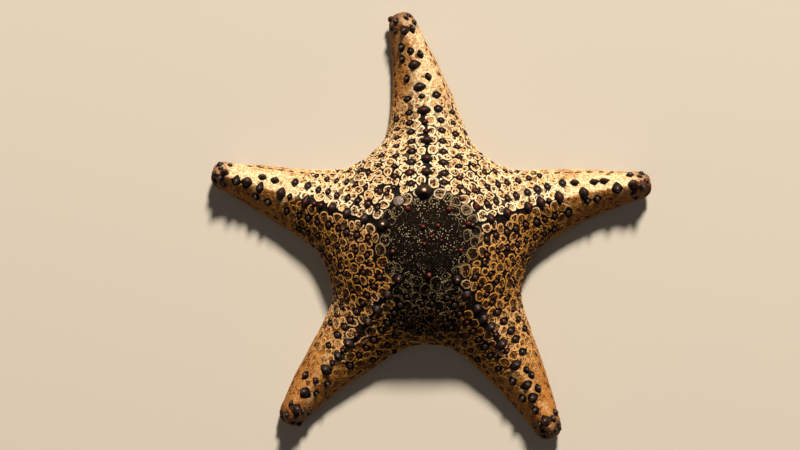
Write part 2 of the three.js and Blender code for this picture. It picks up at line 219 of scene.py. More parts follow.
def slopes(points, step=0.02):
    columns = []
    for shift in np.eye(3) * step:
        columns.append((body_field(points + shift) - body_field(points - shift)) / (2 * step))
    return np.stack(columns, axis=-1)


def unit(vectors):
    return vectors / np.maximum(np.linalg.norm(vectors, axis=-1, keepdims=True), 1e-9)


def settled(points, rounds=3, longest_move=0.5):
    """Moves points that are near the body's surface onto it."""
    points = points.copy()
    for _ in range(rounds):
        slope = slopes(points)
        length = np.maximum(np.linalg.norm(slope, axis=1), 0.2)
        move = np.clip(body_field(points) / length, -longest_move, longest_move)
        points -= slope / length[:, None] * move[:, None]
    return points


def posed(points):
    """Bends the straight arms, puts the star in its place, and turns millimetres to metres."""
    result = points.copy()
    for arm in ARMS:
        along, across = in_arm(points, arm["heading"])
        bent = (along > BEND_START) & (np.abs(across) < along * math.tan(HALF_SECTOR))
        way = (along[bent] - BEND_START) / BEND_LENGTH
        sideways = arm["bow"] * way**2 + arm["curl"] * way**3
        turn = np.arctan((2 * arm["bow"] * way + 3 * arm["curl"] * way**2) / BEND_LENGTH)
        x = along[bent] + arm["extra"] * way - np.sin(turn) * across[bent]
        y = sideways + np.cos(turn) * across[bent]
        result[bent] = from_arm(x, y, points[bent, 2], arm["heading"])
    return (result + DISC_CENTRE) * MM


def posed_directions(points, directions, reach=0.05):
    return unit(posed(points + directions * reach) - posed(points - directions * reach))


def ridge_direction(points):
    """The way along its own arm at each point of the straight body."""
    alongs = [in_arm(points, heading)[0] for heading in HEADINGS]
    turns = np.radians(HEADINGS)[np.argmax(alongs, axis=0)]
    return np.stack([np.cos(turns), np.sin(turns), 0 * turns], axis=1)


def own_arm(points):
    """How far along and across its own arm, the nearest one in direction, each point lies."""
    pairs = np.array([in_arm(points, heading) for heading in HEADINGS])
    nearest = pairs[:, 0].argmax(axis=0)
    picked = pairs[nearest, :, np.arange(len(points))]
    return picked[:, 0], picked[:, 1]


# ---------- the flanks, unrolled

STATION_STEP = 0.5
FLANK_ANGLES = np.radians(np.linspace(90, -60, 121))
EDGE_ANGLE = int(np.searchsorted(-FLANK_ANGLES, -math.radians(14)))


def unrolled_flank():
    """For each station along an arm: arc length down from the ridge, and where that arc lies."""
    stations = np.arange(0, ARM_LENGTH - 0.5, STATION_STEP)
    hub = tip_lift(stations) + AMBITUS * ridge_height(np.minimum(stations, ARM_LENGTH - TIP_ROUND))
    station_grid, angles = np.meshgrid(stations, FLANK_ANGLES, indexing="ij")
    shape = station_grid.shape
    station_grid, angles = station_grid.ravel(), angles.ravel()
    hubs = np.repeat(hub, len(FLANK_ANGLES))
    origins = from_arm(station_grid, 0 * station_grid, hubs, HEADINGS[0])
    directions = from_arm(0 * angles, np.cos(angles), np.sin(angles), HEADINGS[0])
    points = surface_points(origins, directions)
    reach = in_arm(points, HEADINGS[0])[1].reshape(shape)
    height = points[:, 2].reshape(shape)
    steps = np.hypot(np.diff(reach, axis=1), np.diff(height, axis=1))
    arc = np.concatenate([np.zeros((len(stations), 1)), np.cumsum(steps, axis=1)], axis=1)
    return arc, reach, height


FLANK = unrolled_flank()


def on_flank(along, arc, heading):
    """The point of an arm's flank at a distance along it and an arc length down from its ridge."""
    arcs, reaches, heights = FLANK
    place = min(max(along / STATION_STEP, 0), len(arcs) - 1.001)
    low = int(place)
    across, up = 0.0, 0.0
    for row, weight in ((low, 1 - (place - low)), (low + 1, place - low)):
        across += weight * np.interp(abs(arc), arcs[row], reaches[row])
        up += weight * np.interp(abs(arc), arcs[row], heights[row])
    return from_arm(along, math.copysign(across, arc), up, heading)


def in_sector(point, heading, margin=0.0):
    along, across = in_arm(point[None], heading)
    return abs(across[0]) < along[0] * math.tan(HALF_SECTOR) - margin


def top_point(x, y):
    """The point of the back straight above a place in plan."""
    start = np.array([[x, y, 2.0]])
    return surface_points(start, np.array([[0.0, 0.0, 1.0]]))[0]


# ---------- where the cells and knobs are

ROW_SPACING = 4.1  # arc length between two rows of knobs
CELL_PITCH = 2.6  # distance between two cells, or two knobs, of a row
JITTER = 0.2
CELL_JITTER = 0.42
CELL_SIZES = (0.9, 1.35)
SMALL_CELLS = (0.75, 1.05)
STREWN_CELLS = 1600  # tries on each arm at putting a small cell where there is room
PACKING = 0.82  # least distance between two cells, as a share of their radii together
DARK_REACH = 12.3  # the near-black middle of the disc
SOUTH_DARK = 11.0  # how much further it runs between the two lower arms: partly the disc's own dark and partly painted shade on the slope facing away from the light
BARE_REACH = 9.2  # within this the disc has no cells
CELLS_END = 48.0
TIP_TRIES = 40  # tries on each tip at putting a small knob where there is room
CROWN_END = 13  # a knob nearer than this to the disc's middle is one of the crown
RED_END = 36  # the ridge's knobs are red up to here
LEAST_POINTED = 1.4  # width of the narrowest knob that is pointed
LOWEST_CELL = 0.9  # height above the sole
RIDGE_LINE_END = 33  # the dark line along a ridge runs out here
RIDGE_CELLS = 1.45  # least arc length from the ridge to a cell's middle on the inner arm
SOLE_PITCH = 1.9
# Rows of knobs down each flank: first and last distance along the arm, and their width.
KNOB_ROWS = [(14.2, 38.5, 1.15), (10.5, 34.0, 0.95), (11.0, 28.0, 0.85), (14.0, 25.0, 0.7)]
CENTRE_BEADS = [
    (1.0, 0.9, 1.0), (3.5, 0.0, 0.8), (-0.7, -0.85, 1.0), (-1.0, 3.3, 1.2), (2.6, 3.6, 1.2),
    (-4.7, 7.75, 1.4), (5.3, 7.6, 1.4), (8.2, -2.4, 1.2), (0.45, -8.45, 1.3), (-8.4, -2.7, 1.2),
    (-11.5, 11.9, 1.1), (8.5, 10.2, 1.0), (11.7, 12.2, 1.1), (12.1, 8.6, 1.1), (10.1, 4.1, 1.3),
]


@dataclass
class Knob:
    """A knob of the back: its foot, its width and stretch along the arm, how red and how worn it
    is, and half the size, along and across the arm, of the dark plate that it stands on. Its
    colour starts at the cap, a share of its height."""

    point: np.ndarray
    width: float
    red: float
    plate: tuple
    worn: float = 0.0
    stretch: float = 1.0
    cap: float = 0.5
    height: float = 1.0
    pointed: bool = False


def ridge_plate(along, width):
    if along > 46 or along < CROWN_END:
        return (width / 2 + 0.5, width / 2 + 0.5)
    if width < LEAST_POINTED:
        return (0.8, 1.0)
    if along > RED_END:
        return (width / 2 + 0.25, width / 2 + 0.75)
    return (1.25, 1.6 if along < 28 else 1.9)


def listed_knobs(arm, worn_crown):
    knobs = []
    for along, across, width in arm["knobs"]:
        x, y, _ = from_arm(along, across, 0.0, arm["heading"])
        crown = along < CROWN_END
        on_ridge = abs(across) < 0.8
        plate = ridge_plate(along, width) if on_ridge else (width / 2 + 0.45, width / 2 + 0.4)
        red = 0.75 if crown else 0.95 if along < RED_END and on_ridge else 0.15
        pointed = on_ridge and CROWN_END < along < 43 and width >= LEAST_POINTED
        worn = worn_crown if crown else 0.0
        cap, tall = (0.58, 0.82) if pointed else (0.5, 1.0)
        knobs.append(Knob(top_point(x, y), width, red, plate, worn, 1.0, cap, tall, pointed))
    return knobs


def row_knobs(heading, chance):
    knobs = []
    for row, (first, last, width) in enumerate(KNOB_ROWS, start=1):
        along = first
        while along < last:
            for side in (-1, 1):
                shift = chance.uniform(-JITTER, JITTER, 2)
                arc = side * (ROW_SPACING * row + shift[1])
                size = width * chance.uniform(0.85, 1.15)
                red = chance.uniform(0.15, 0.75) * (1 - smooth_step(along, 24, 34))
                point = on_flank(along + shift[0], arc, heading)
                # Knobs between the two lower arms are made less red: partly painted shade, as for the
                # dark middle there.
                south = smooth_step(-point[1], 6, 12) * (1 - smooth_step(abs(point[0]), 6, 10))
                red *= 1 - 0.8 * south
                if in_sector(point, heading, 0.5) and point[2] > 2.4:
                    plate = (size * 0.85, size * 1.25)
                    knobs.append(Knob(point, size, red, plate, cap=0.1, height=0.45))
            along += CELL_PITCH if along < 30 else CELL_PITCH * 1.35
    return knobs


def edge_knobs(heading, chance):
    """The long narrow knobs between the upper and the lower plates of an arm's edge."""
    knobs = []
    for along in np.arange(25.0, 50.0, CELL_PITCH):
        for side in (-1, 1):
            edge = FLANK[0][int(along / STATION_STEP)][EDGE_ANGLE]
            point = on_flank(along + chance.uniform(-0.2, 0.2), side * edge, heading)
            knobs.append(Knob(point, 0.6, 0.1, (0.95, 0.3), stretch=2.0, height=0.6))
    return knobs


def tip_knobs(heading, taken, chance):
    """Small dark knobs crowded round the listed ones on an arm's tip."""
    knobs = []
    for _ in range(TIP_TRIES):
        point = on_flank(chance.uniform(52.0, 56.5), chance.uniform(-5, 5), heading)
        width = chance.uniform(1.2, 2.0)
        if all(
            np.linalg.norm(point - other.point) > (width + other.width) / 2 + 0.35
            for other in taken + knobs
        ):
            knobs.append(Knob(point, width, 0.1, (width / 2 + 0.2, width / 2 + 0.2), height=0.7))
    return knobs


def knob_places(chance):
    knobs = []
    for arm, worn_crown in zip(ARMS, (1.0, 0.2, 0.4, 0.2, 1.0)):
        knobs += listed_knobs(arm, worn_crown)
        knobs += row_knobs(arm["heading"], chance)
        knobs += edge_knobs(arm["heading"], chance)
        knobs += tip_knobs(arm["heading"], knobs, chance)
    for x, y, width in CENTRE_BEADS:
        knobs.append(Knob(top_point(x, y), width, 1.0, (width / 2 + 0.3, width / 2 + 0.3), cap=0))
    return knobs


def back_cells(chance):
    """Places and radii of the pore cells: two rows between every two rows of knobs, and small
    ones to strew between them."""
    cells = []
    for heading in HEADINGS:
        for row in range(1, 18):
            if row % 3 == 0:
                continue
            stagger = 0.5 * (row // 3 % 2) + 0.5 * (row % 3 == 1)
            for along in np.arange(8.0 + CELL_PITCH * stagger, CELLS_END, CELL_PITCH):
                for side in (-1, 1):
                    shift = chance.uniform(-CELL_JITTER, CELL_JITTER, 2)
                    arc = side * max(ROW_SPACING * row / 3 + shift[1], RIDGE_CELLS)
                    point = on_flank(along + shift[0], arc, heading)
                    if in_sector(point, heading, 0.2) and point[2] > LOWEST_CELL:
                        cells.append((point, chance.uniform(*CELL_SIZES)))
        for _ in range(STREWN_CELLS):
            along, arc = chance.uniform(12, 44), chance.uniform(-22, 22)
            point = on_flank(along, arc, heading)
            on_ridge = abs(arc) < RIDGE_CELLS and along < RIDGE_LINE_END
            if in_sector(point, heading) and point[2] > LOWEST_CELL and not on_ridge:
                cells.append((point, chance.uniform(*SMALL_CELLS)))
    for ring, count in ((12.0, 28), (10.3, 24)):
        for index in range(count):
            angle = 2 * math.pi * (index + chance.uniform(-0.25, 0.25)) / count
            reach = ring + chance.uniform(-0.4, 0.4)
            point = top_point(reach * math.cos(angle), reach * math.sin(angle))
            cells.append((point, chance.uniform(1.15, 1.4)))
    return cells


def sole_cells(chance):
    """Places and radii of the plates of the sole, in rows beside the grooves."""
    cells = []
    for heading in HEADINGS:
        for row in range(9):
            across = BANK_EDGE + SOLE_PITCH * (row + 0.4)
            for along in np.arange(3.0 + SOLE_PITCH * 0.5 * (row % 2), 52.0, SOLE_PITCH):
                if across > half_width(along) - 0.7 or across > along * math.tan(HALF_SECTOR):
                    continue
                for side in (-1, 1):
                    shift = chance.uniform(-0.15, 0.15, 2)
                    point = from_arm(along + shift[1], side * (across + shift[0]), 0.0, heading)
                    cells.append((point, chance.uniform(0.95, 1.1)))
    return cells


def spaced(cells):
    """Leaves out each cell too close to one already taken, taking the larger ones first."""
    points = np.zeros((0, 3))
    radii = np.zeros(0)
    for point, radius in sorted(cells, key=lambda cell: -cell[1]):
        if np.hypot(point[0], point[1]) < BARE_REACH:
            continue
        least = PACKING * (radii + radius)
        if np.all(np.linalg.norm(points - point, axis=1) > least):
            points = np.vstack([points, point])
            radii = np.append(radii, radius)
    return list(zip(points, radii))


# ---------- measures over the skin

NEIGHBOURS = 6
MERGED_SHARE = 0.12
CROWDING = 1.35  # how much wider a cell would be without its neighbours
SQUEEZE = 1.3  # how much a cell may be narrowed across
PLATE_POWER = 1.45  # 1 makes the dark plates diamonds and 2 makes them ovals
RIDGE_GAP = 0.35  # half the width of the dark line along an arm's ridge


def nearest_places(points, places, count):
    """Which places are nearest to each point, as an array of their numbers."""
    tree = kdtree.KDTree(len(places))
    for number, place in enumerate(places):
        tree.insert(Vector(place), number)
    tree.balance()
    found = [[hit[1] for hit in tree.find_n(Vector(point), count)] for point in points]
    return np.array(found)


def soft_noise(points, size, seed):
    """Smooth noise from -1 to 1 whose hills are about the given size, in millimetres."""
    shift = Vector((seed * 17.3, seed * 5.1, seed * 9.7))
    return np.array([noise.noise(Vector(point) / size + shift) for point in points])


def merged_groups(places, chance):
    """A number for each cell; some cells share it with their nearest neighbour and run together."""
    groups = np.arange(len(places))
    nearest = nearest_places(places, places, 2)[:, 1]
    for number in range(len(places)):
        if chance.random() < MERGED_SHARE:
            groups[number] = groups[nearest[number]]
    return groups


def cell_measure(points, cells, chance):
    """Distance inward from the outline of the nearest cell, below zero between the cells, and the
    number of that cell."""
    places = np.array([cell[0] for cell in cells])
    radii = np.array([cell[1] for cell in cells]) * CROWDING
    groups = merged_groups(places, chance)
    narrow_way = unit(chance.normal(size=(len(cells), 3)))
    narrowing = chance.uniform(0, SQUEEZE, len(cells))
    inner = 1 - smooth_step(off_middle(places), 13, 25)
    near = nearest_places(points, places, NEIGHBOURS)
    offset = points[:, None] - places[near]
    squeezed = narrowing[near] * np.sum(offset * narrow_way[near], axis=2) ** 2
    power = np.sum(offset**2, axis=2) + squeezed - radii[near] ** 2
    order = np.argsort(power, axis=1)
    near = np.take_along_axis(near, order, axis=1)
    power = np.take_along_axis(power, order, axis=1)
    own = near[:, 0]
    wobble = 0.2 * soft_noise(points, 0.9, 1)
    inward = radii[own] + wobble - np.sqrt(np.maximum(power[:, 0] + radii[own] ** 2, 0))
    for rank in range(1, NEIGHBOURS):
        other = near[:, rank]
        apart = np.linalg.norm(places[other] - places[own], axis=1)
        halfway = (power[:, rank] - power[:, 0]) / (2 * apart)
        gap = 0.3 * np.modf((own + other) * 0.618034)[0] + 0.04 + 0.08 * inner[own]
        limit = np.where(groups[other] == groups[own], 9.0, halfway - gap / 2)
        inward = smooth_min(inward, limit, 0.45)
    return inward, own


def plate_measure(points, knobs):
    """Distance inward from the outline of the nearest dark plate, below zero outside them."""
    places = np.array([knob.point for knob in knobs])
    halves = np.array([knob.plate for knob in knobs])
    normals = unit(slopes(places))
    forward = ridge_direction(places)
    forward = unit(forward - normals * np.sum(forward * normals, axis=1, keepdims=True))
    sideways = np.cross(normals, forward)
    best = np.full(len(points), -9.0)
    near = nearest_places(points, places, 3)
    for rank in range(3):
        plate = near[:, rank]
        offset = points - places[plate]
        ahead = np.abs(np.sum(offset * forward[plate], axis=1)) / halves[plate, 0]
        aside = np.abs(np.sum(offset * sideways[plate], axis=1)) / halves[plate, 1]
        reach = (ahead**PLATE_POWER + aside**PLATE_POWER) ** (1 / PLATE_POWER)
        best = np.maximum(best, (1 - reach) * halves[plate].min(axis=1))
    return best


# ---------- modelling helpers

def deselect():
    if bpy.context.object and bpy.context.object.mode != "OBJECT":
        bpy.ops.object.mode_set(mode="OBJECT")
    bpy.ops.object.select_all(action="DESELECT")


def pick(ob):
    deselect()
    ob.select_set(True)
    bpy.context.view_layer.objects.active = ob


def read(items, key):
    """The three numbers that each item of a mesh has under a key."""
    flat = np.empty(len(items) * 3)
    items.foreach_get(key, flat)
    return flat.reshape(-1, 3)


def corners(ob):
    return read(ob.data.vertices, "co")


def move_corners(ob, points):
    ob.data.vertices.foreach_set("co", np.ascontiguousarray(points).ravel())
    ob.data.update()


def store(ob, name, values):
    layer = ob.data.attributes.new(name, "FLOAT", "POINT")
    layer.data.foreach_set("value", np.asarray(values, dtype=float))


def ball(segments, rings):
    deselect()
    bpy.ops.mesh.primitive_uv_sphere_add(segments=segments, ring_count=rings, radius=1)
    return bpy.context.object


def cut_off_below(ob, height):
    """Cuts the part below a height away and closes the cut."""
    pick(ob)
    bpy.ops.object.mode_set(mode="EDIT")
    bpy.ops.mesh.select_all(action="SELECT")
    bpy.ops.mesh.bisect(plane_co=(0, 0, height), plane_no=(0, 0, 1), clear_inner=True, use_fill=True)
    bpy.ops.object.mode_set(mode="OBJECT")


def subdivide_faces(ob, chosen):
    """Cuts each chosen face in four."""
    pick(ob)
    mesh = ob.data
    bpy.context.tool_settings.mesh_select_mode = (False, False, True)
    for items in (mesh.vertices, mesh.edges):
        items.foreach_set("select", np.zeros(len(items), dtype=bool))
    mesh.polygons.foreach_set("select", chosen)
    bpy.ops.object.mode_set(mode="EDIT")
    bpy.ops.mesh.subdivide(number_cuts=1, smoothness=0)
    bpy.ops.object.mode_set(mode="OBJECT")


def put(name, data):
    """A new object in the scene."""
    ob = bpy.data.objects.new(name, data)
    bpy.context.scene.collection.objects.link(ob)
    return ob


def joined(first, others):
    """Joins the other objects to the first one."""
    pick(first)
    for other in others:
        other.select_set(True)
    bpy.ops.object.join()
    return bpy.context.object


def joined_copies(model, places, axes, values=None):
    """One mesh of copies of a model. axes holds each copy's three scaled axes as columns, and
    values a number for each copy under each name, stored on all of that copy's corners."""
    own = corners(model)
    count = len(own)
    faces = [list(face.vertices) for face in model.data.polygons]
    points = places[:, None] + np.einsum("nij,vj->nvi", axes, own)
    all_faces = [
        [corner + copy * count for corner in face] for copy in range(len(places)) for face in faces
    ]
    mesh = bpy.data.meshes.new("copies")
    mesh.from_pydata(points.reshape(-1, 3).tolist(), [], all_faces)
    mesh.update()
    piece = put("copies", mesh)
    store(piece, "rise", np.tile(own[:, 2] / own[:, 2].max(), len(places)))
    for key, numbers in (values or {}).items():
        store(piece, key, np.repeat(numbers, count))
    bpy.data.objects.remove(model)
    return piece


def standing_axes(points, normals, forward):
    """Unit axes of things that stand on the straight body, after its arms are bent: columns are
    forward, sideways and outward."""
    outward = posed_directions(points, normals)
    ahead = posed_directions(points, forward)
    ahead = unit(ahead - outward * np.sum(ahead * outward, axis=1, keepdims=True))
    sideways = np.cross(outward, ahead)
    return np.stack([ahead, sideways, outward], axis=2)


# ---------- skin

VOXEL = 0.665
RIM_HEIGHT = 0.13
HOLLOW_DEPTH = 0.05
GAP_DEPTH = 0.16
SKIN_SWELL = 0.14
SEAM_DEPTH = 0.22
SKIN_VALUES = (
    "cell", "plate", "fade", "dark", "tint", "arc", "under", "along", "groove", "deep", "reach",
    "away_shade", "filled",
)


def body_shell():
    """A closed shell of the body with straight arms: a ball for the disc and one for each arm,
    pushed out to the body's surface, joined and made one surface."""
    disc = ball(72, 40)
    directions = unit(corners(disc))
    hub = np.array([0, 0, AMBITUS * float(ridge_height(0))])
    move_corners(disc, surface_points(hub + 0 * directions, directions, longest=27.0))
    lobes = []
    for heading in HEADINGS:
        lobe = ball(40, 64)
        facing = unit(corners(lobe))
        station = 31 + 21 * facing[:, 2]
        hub = tip_lift(station) + AMBITUS * ridge_height(np.minimum(station, 52))
        origins = from_arm(station, 0 * station, hub, heading)
        directions = from_arm(facing[:, 2], facing[:, 0], facing[:, 1], heading)
        move_corners(lobe, surface_points(origins, directions, longest=14.0))
        lobes.append(lobe)
    shell = joined(disc, lobes)
    remesh = shell.modifiers.new("one surface", "REMESH")
    remesh.mode = "VOXEL"
    remesh.voxel_size = VOXEL
    bpy.ops.object.modifier_apply(modifier=remesh.name)
    move_corners(shell, settled(corners(shell), rounds=4))
    return shell


def skin_zones(points):
    """Where points lie on their arm: along and across it and by arc length from its ridge, how far
    they are onto the two lower arms, and how far the cells have given way to plain skin."""
    along, across = own_arm(points)
    drop = ridge_height(np.minimum(along, ARM_LENGTH - TIP_ROUND)) + tip_lift(along) - points[:, 2]
    arc = np.hypot(across, np.maximum(drop, 0))
    lower = smooth_step(-points[:, 1], 10, 24)
    fade = smooth_step(along + 0.8 * np.maximum(arc - 5, 0) - 2 * lower, 32.5, 43)
    return along, across, arc, lower, fade


def refine(shell, knobs):
    """Finer faces on the back and along the grooves, where the skin's relief needs them."""
    centres, normals = (read(shell.data.polygons, key) for key in ("center", "normal"))
    along, across, _, _, fade = skin_zones(centres)
    groove_side = (np.abs(across) < BANK_EDGE + 0.3) & (along < 52)
    with_cells = (fade < 0.9) & (off_middle(centres) > BARE_REACH - 1)
    detailed = with_cells | (plate_measure(centres, knobs) > -0.8)
    back = (normals[:, 2] > -0.15) & (centres[:, 2] > 1.2)
    subdivide_faces(shell, (back & detailed) | (groove_side & (centres[:, 2] < 0.3)))
    move_corners(shell, settled(corners(shell)))


def groove_rise(points):
    """How far the sole is drawn up at each point by the grooves and the mouth."""
    along, across = own_arm(points)
    reach = off_middle(points)
    ends = smooth_step(along, GROOVE_START - 1, GROOVE_START) * (
        1 - smooth_step(along, GROOVE_END - 4, GROOVE_END)
    )
    round_share = np.sqrt(np.maximum(1 - (across / GROOVE_HALF_WIDTH) ** 2, 0))
    bank = 1 - smooth_step(np.abs(across), GROOVE_HALF_WIDTH, BANK_EDGE)
    groove = (GROOVE_BANK_DEPTH * bank + (GROOVE_DEPTH - GROOVE_BANK_DEPTH) * round_share) * ends
    mouth = MOUTH_DEPTH * np.sqrt(np.maximum(1 - (reach / MOUTH_RADIUS) ** 4, 0))
    return np.maximum(groove, mouth)


def skin(cells, knobs, chance):
    """The whole outer skin. What its material needs to know of each point is stored on it."""
    shell = body_shell()
    refine(shell, knobs)
    points = corners(shell)
    normals = unit(slopes(points))
    along, across, arc, lower, fade = skin_zones(points)
    # Painted shade: flanks that face away from the light get darker orange-brown colours and darker cell
    # insides. The two lower arms get much of the same colouring all over.
    away_shade = smooth_step(-posed_directions(points, normals)[:, 1], -0.4, 0.3)
    away_shade = np.maximum(away_shade, 0.7 * lower)
    under = smooth_step(-normals[:, 2], 0.3, 0.8)
    back = 1 - under
    inward, own = cell_measure(points, cells, chance)
    reach = off_middle(points)
    ridge_gap = RIDGE_GAP * (1 - smooth_step(along, 24, RIDGE_LINE_END))
    ridge_gap = ridge_gap - 3 * smooth_step(along, 30, 36)
    ridge_line = np.abs(across) - ridge_gap + 0.25 * soft_noise(points, 0.8, 4)
    inward = np.where(under < 0.5, smooth_min(inward, ridge_line, 0.3), inward)
    bare = (1 - smooth_step(reach, BARE_REACH - 0.8, BARE_REACH + 0.4)) * back
    inward = inward * (1 - bare) - 1.0 * bare
    plate = plate_measure(points, knobs + [Knob(sieve_seat(), 0, 0, (1.75, 1.75))])
    in_line = (reach > BARE_REACH) & (along < RIDGE_LINE_END) & (under < 0.5)
    plate = np.maximum(plate, np.minimum(np.where(in_line, -ridge_line, -9), 1))
    fade = fade * back
    filled = 0.6 * lower * smooth_step(along, 18, 28) * smooth_step(arc, 2, 6)
    # Painted light: on the side towards the light the dark ground between cells is filled with the pale
    # skin colour, so that side reads lighter.
    lit = 0.6 * (1 - away_shade) * smooth_step(along, 19, 27) * smooth_step(arc, 1.5, 4)
    filled = np.maximum(np.maximum(filled, lit), smooth_step(fade, 0, 0.4))
    places = np.array([cell[0] for cell in cells])
    own_reach = off_middle(places)[own]
    off_south = np.degrees(np.arctan2(np.abs(places[:, 0]), -places[:, 1]))[own]
    tint = chance.random(len(cells))[own]
    # The dark middle runs further between the lower arms: partly its own colour, partly painted shade.
    dark_end = DARK_REACH + SOUTH_DARK * (1 - smooth_step(off_south, 22, 37))
    dark = 1 - smooth_step(own_reach + 2.4 * (tint - 0.5), dark_end - 1.2, dark_end + 1.6)
    dark = dark * back
    deep = (1 - smooth_step(own_reach, 16, 36)) * back

    pit = 1 - smooth_step(inward, -0.22, 0.04)
    hollow = smooth_step(inward, 0.3, 0.6)
    rim = np.exp(-(((inward - 0.18) / 0.19) ** 2))
    strength = (1 - 0.85 * fade) * (1 - 0.5 * dark)
    relief = (RIM_HEIGHT * rim - HOLLOW_DEPTH * hollow - GAP_DEPTH * pit) * strength
    relief -= 0.1 * smooth_step(plate, -0.1, 0.15) * back
    relief += SKIN_SWELL * soft_noise(points, 5.0, 3) + 0.05 * soft_noise(points, 0.9, 6)
    seams = SEAM_DEPTH * (1 - smooth_step(inward, -0.1, 0.5))
    on_sole = points[:, 2] < 0.05
    moved = points + normals * np.where(on_sole, 0, relief * back - seams * under)[:, None]
    lift = groove_rise(points) * (points[:, 2] < 0.6)
    moved[:, 2] += np.where(under > 0.5, lift, 0)
    moved[:, 2] += np.where(on_sole & (lift < 0.05), seams, 0)
    moved[:, 2] = np.maximum(moved[:, 2], 0)

    move_corners(shell, posed(moved))
    values = inward, plate, fade, dark, tint, arc, under, along, lift, deep, reach, away_shade, filled
    for name, numbers in zip(SKIN_VALUES, values):
        store(shell, name, numbers)
    for arm in range(1, len(ARMS) + 1):
        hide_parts(f"arm_{arm}", f"arm_tip_{arm}")
    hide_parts("disc")
    return shell


# ---------- knobs and sieve plate

KNOB_HEIGHT = 0.62  # share of its width that a knob stands proud
KNOB_FOOT = 0.35  # share of its half width that is set into the skin
POINTED_FOOT = 0.85  # size of a pointed knob's foot as a share of its dark plate
KNOB_VALUES = ("red", "worn", "cap")


def knob_model(segments, rings, taper, pointed):
    """A knob of radius 1 with a rounded top; a high taper makes it a cone, and a pointed one has a
    diamond for its foot."""
    model = ball(segments, rings)
    cut_off_below(model, -KNOB_FOOT)
    points = corners(model)
    up = np.maximum(points[:, 2], 0)
    narrow = 1 - taper * up
    if pointed:
        across = np.abs(unit(points * [1, 1, 0] + [1e-9, 0, 0]))
        diamond = np.sum(across**PLATE_POWER, axis=1) ** (-1 / PLATE_POWER)
        narrow *= 1 + (diamond - 1) * (1 - up)
    points[:, 0] *= narrow
    points[:, 1] *= narrow
    points[:, 2] *= np.where(points[:, 2] > 0, 2 * KNOB_HEIGHT, 1)
    move_corners(model, points)
    return model


def knob_piece(knobs, segments, rings, taper=0.22, upright=0.0, pointed=False):
    def each(value):
        return np.array([getattr(knob, value) for knob in knobs])

    points = each("point")
    radii = each("width") / 2
    normals = unit(unit(slopes(points)) + np.array([0, 0, upright]))
    axes = standing_axes(points, normals, ridge_direction(points))
    sizes = np.stack([radii * each("stretch"), radii, radii * each("height")], axis=1) * MM
    if pointed:
        sizes[:, :2] = each("plate") * POINTED_FOOT * MM
    model = knob_model(segments, rings, taper, pointed)
    places = posed(points - normals * 0.05)
    values = {value: each(value) for value in KNOB_VALUES}
    return joined_copies(model, places, axes * sizes[:, None, :], values)


def sieve_seat():
    turn = math.radians(MADREPORITE_HEADING)
    return top_point(MADREPORITE_REACH * math.cos(turn), MADREPORITE_REACH * math.sin(turn))


def sieve_plate():
    """The madreporite: a low round plate with winding grooves that run out to its rim."""
    plate = ball(72, 40)
    cut_off_below(plate, -0.3)
    points = corners(plate)
    reach = off_middle(points)
    angle = np.arctan2(points[:, 1], points[:, 0])
    winding = np.sin(11 * angle + 2.2 * np.sin(5 * reach) + 1.3 * np.sin(3 * angle))
    groove = smooth_step(winding, 0.1, 0.9) * smooth_step(reach, 0.12, 0.3)
    top = points[:, 2] > 0
    points[:, 2] *= np.where(top, MADREPORITE_HEIGHT / MADREPORITE_RADIUS, 1)
    points[:, 2] -= np.where(top, 0.1 * groove * smooth_step(points[:, 2], 0.02, 0.15), 0)
    seat = sieve_seat()[None]
    axes = standing_axes(seat, unit(slopes(seat)), ridge_direction(seat))[0]
    move_corners(plate, posed(seat)[0] + (points * MADREPORITE_RADIUS * MM) @ axes.T)
    store(plate, "groove", groove)
    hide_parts("madreporite")
    return plate


# ---------- underside

FOOT_PITCH = 1.35
SPINE_PITCH = 1.15


def rod(vertices, radius, heights, widths):
    """A rod that stands on the origin, its width changing at the given heights."""
    deselect()
    length = heights[-1]
    bpy.ops.mesh.primitive_cylinder_add(
        vertices=vertices, radius=radius, depth=length, location=(0, 0, length / 2)
    )
    model = bpy.context.object
    pick(model)
    bpy.ops.object.transform_apply(location=True)
    bpy.ops.object.mode_set(mode="EDIT")
    for height in heights[1:-1]:
        bpy.ops.mesh.select_all(action="SELECT")
        bpy.ops.mesh.bisect(plane_co=(0, 0, height), plane_no=(0, 0, 1))
    bpy.ops.object.mode_set(mode="OBJECT")
    points = corners(model)
    points[:, :2] *= np.interp(points[:, 2], heights, widths)[:, None]
    move_corners(model, points)
    return model


def tube_feet(chance):
    """Soft tubes that hang down from the grooves' roofs, each with a sucker at its end."""
    places, axes = [], []
    for heading in HEADINGS:
        for along in np.arange(4.0, GROOVE_END - 2.5, FOOT_PITCH):
            for side in (-1, 1):
                taper = 1 - 0.35 * smooth_step(along, 30, 50)
                shift = chance.uniform(-0.12, 0.12, 2)
                places.append(from_arm(along + shift[0], side * 0.55 + shift[1], 0.12, heading))
                lean = chance.uniform(-0.12, 0.12, 2)
                columns = np.array([[1, 0, lean[0]], [0, 1, lean[1]], [0, 0, 1]])
                axes.append(columns * np.array([taper, taper, 1.0]) * MM)
    model = rod(8, 0.36, (0, 0.22, 0.5, 1.5), (1.25, 1.2, 0.72, 1.0))
    return joined_copies(model, posed(np.array(places)), np.array(axes))


def spine_piece(starts, ends, widths):
    """Short blunt spines, each from its start to its end."""
    starts, ends = posed(np.array(starts)), posed(np.array(ends))
    axes = []
    for way, width in zip(ends - starts, widths):
        length = np.linalg.norm(way)
        ahead = way / length
        side = unit(np.cross([0, 0, 1.0], ahead))
        other = np.cross(ahead, side)
        axes.append(np.stack([side * width, other * width, ahead * (length / MM)], axis=1) * MM)
    return joined_copies(rod(6, 1, (0, 0.75, 1), (1.0, 0.9, 0.45)), starts, np.array(axes))


